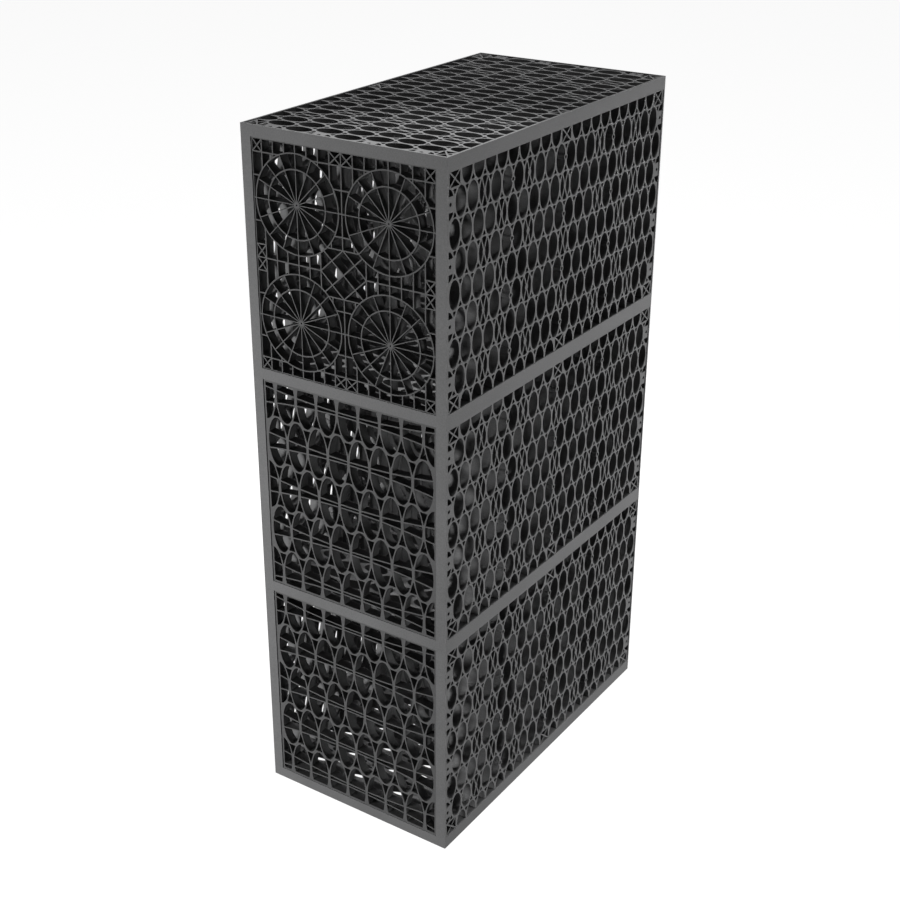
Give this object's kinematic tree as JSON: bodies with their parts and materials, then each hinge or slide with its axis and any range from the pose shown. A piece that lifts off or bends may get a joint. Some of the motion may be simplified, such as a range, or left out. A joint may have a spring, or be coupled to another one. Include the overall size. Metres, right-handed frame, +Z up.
{
  "type": "soakaway crate",
  "caption": "Tall soakaway crate of dark plastic lattice plates that plug together, with pipe entry rings in its front, to store and drain rainwater underground.",
  "frame": {"origin": "centre of the footprint, on the plane of the bottom plate's rim", "axes": "+Z up the tiers, X across the width, Y along the depth with the front with the pipe entry towards -Y"},
  "size_m": [0.4, 0.715, 1.28],
  "materials": {
    "large_plastic": "matte moulded",
    "end_plastic": "matte moulded",
    "inner_plastic": "matte moulded"
  },
  "bodies": {
    "root": {"bottom_plate": "large_plastic", "lower_mid_plate": "inner_plastic", "upper_mid_plate": "inner_plastic", "top_plate": "large_plastic", "bottom_front_plate": "end_plastic", "middle_front_plate": "end_plastic", "top_pipe_entry_plate": "end_plastic", "bottom_back_plate": "end_plastic", "middle_back_plate": "end_plastic", "top_back_plate": "end_plastic", "bottom_left_side_plate": "large_plastic", "bottom_right_side_plate": "large_plastic", "middle_left_side_plate": "large_plastic", "middle_right_side_plate": "large_plastic", "top_left_side_plate": "large_plastic", "top_right_side_plate": "large_plastic", "bottom_front_inner_plate": "inner_plastic", "bottom_centre_inner_plate": "inner_plastic", "bottom_rear_inner_plate": "inner_plastic", "middle_front_inner_plate": "inner_plastic", "middle_centre_inner_plate": "inner_plastic", "middle_rear_inner_plate": "inner_plastic", "top_front_inner_plate": "inner_plastic", "top_centre_inner_plate": "inner_plastic", "top_rear_inner_plate": "inner_plastic"}
  },
  "joints": []
}
